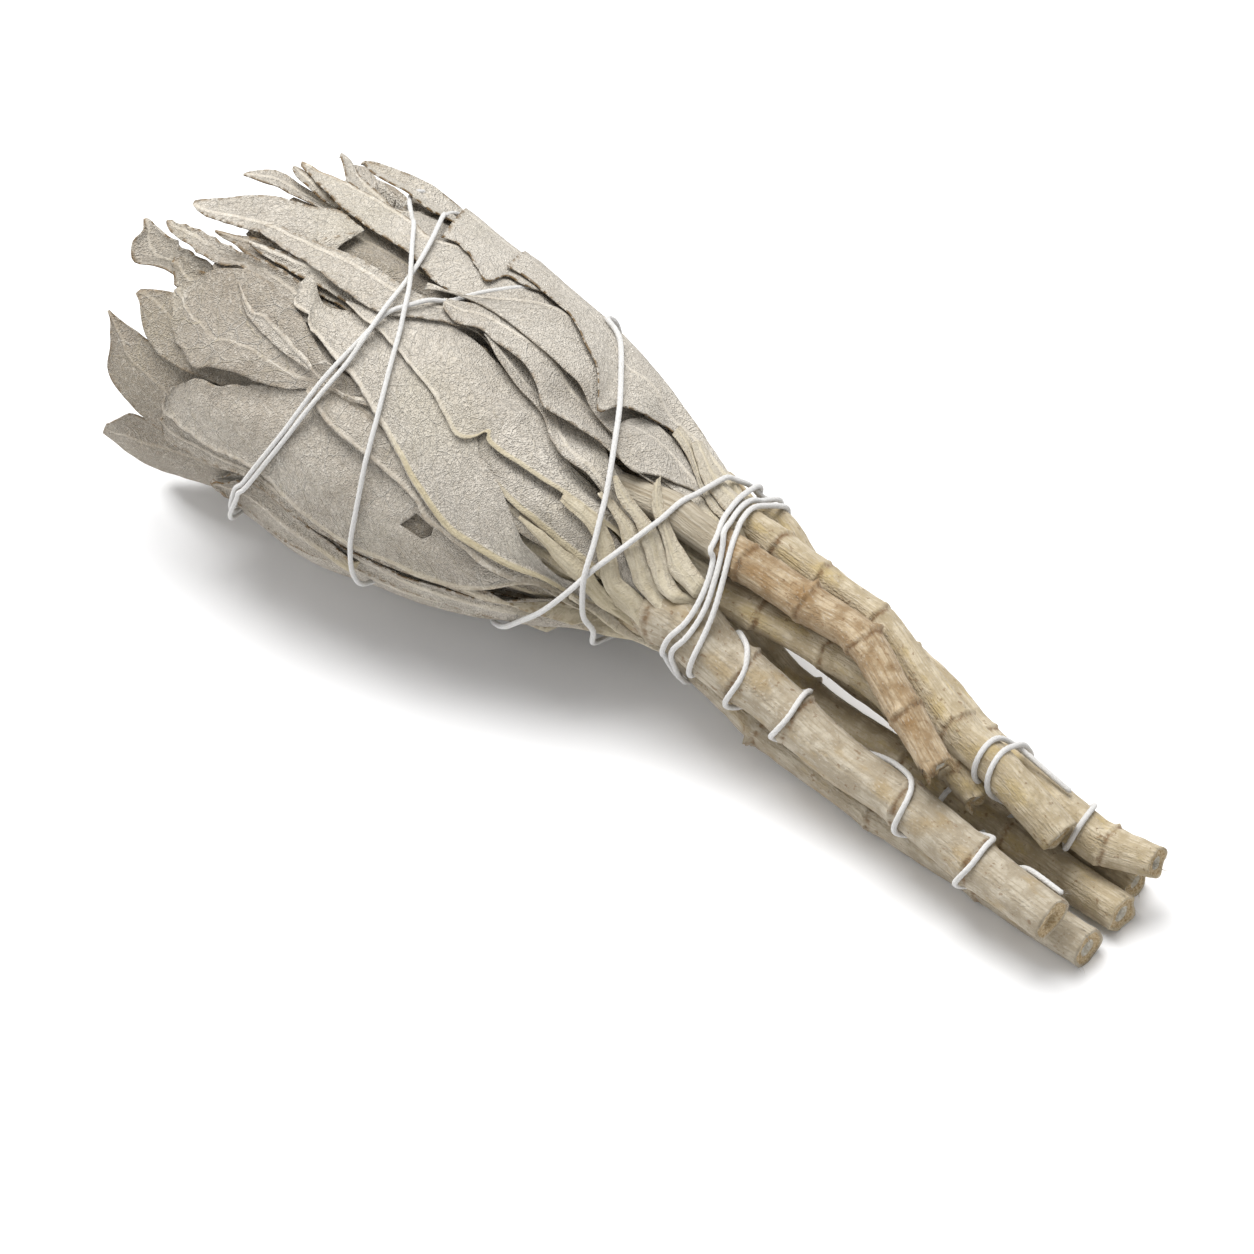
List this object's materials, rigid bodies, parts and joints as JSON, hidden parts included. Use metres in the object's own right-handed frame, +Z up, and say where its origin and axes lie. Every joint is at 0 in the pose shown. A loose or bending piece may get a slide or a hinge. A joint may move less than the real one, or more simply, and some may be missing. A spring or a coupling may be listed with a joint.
{
  "type": "sage smudge stick",
  "caption": "Hand-length bundle of dried white sage: leafy stems laid side by side, their leaves pressed over the head, bound with one wound cotton string; it lies on its side.",
  "frame": {"origin": "middle of the underside of the whole object's box, on the surface that it lies on", "axes": "+X along the bundle from the leaf tips to the cut stem ends, +Z up, so +Y is the side turned away from the picture's camera"},
  "size_m": [0.2016, 0.071, 0.0584],
  "materials": {
    "sage_leaf": "dried felted sage leaf: warm grey beige, matt, with fine wrinkles and pale veins",
    "sage_pale": "dried sage stem still covered in pale grey felt, matt",
    "sage_tan": "dried sage stem, tan with ochre patches and fine lengthwise lines, matt",
    "sage_brown": "bare dried sage twig, light brown with split fibres at its broken end, matt",
    "cotton_string": "white twisted cotton string, soft and matt"
  },
  "bodies": {
    "root": {"leafy_stem_front": "sage_pale", "leafy_stem_under": "sage_pale", "leafy_stem_low": "sage_tan", "leafy_stem_back": "sage_tan", "leafy_stem_crook": "sage_tan", "leafy_stem_top": "sage_tan", "leafy_stem_broken": "sage_brown", "leafy_stem_middle": "sage_tan", "cotton_string": "cotton_string"}
  },
  "joints": []
}
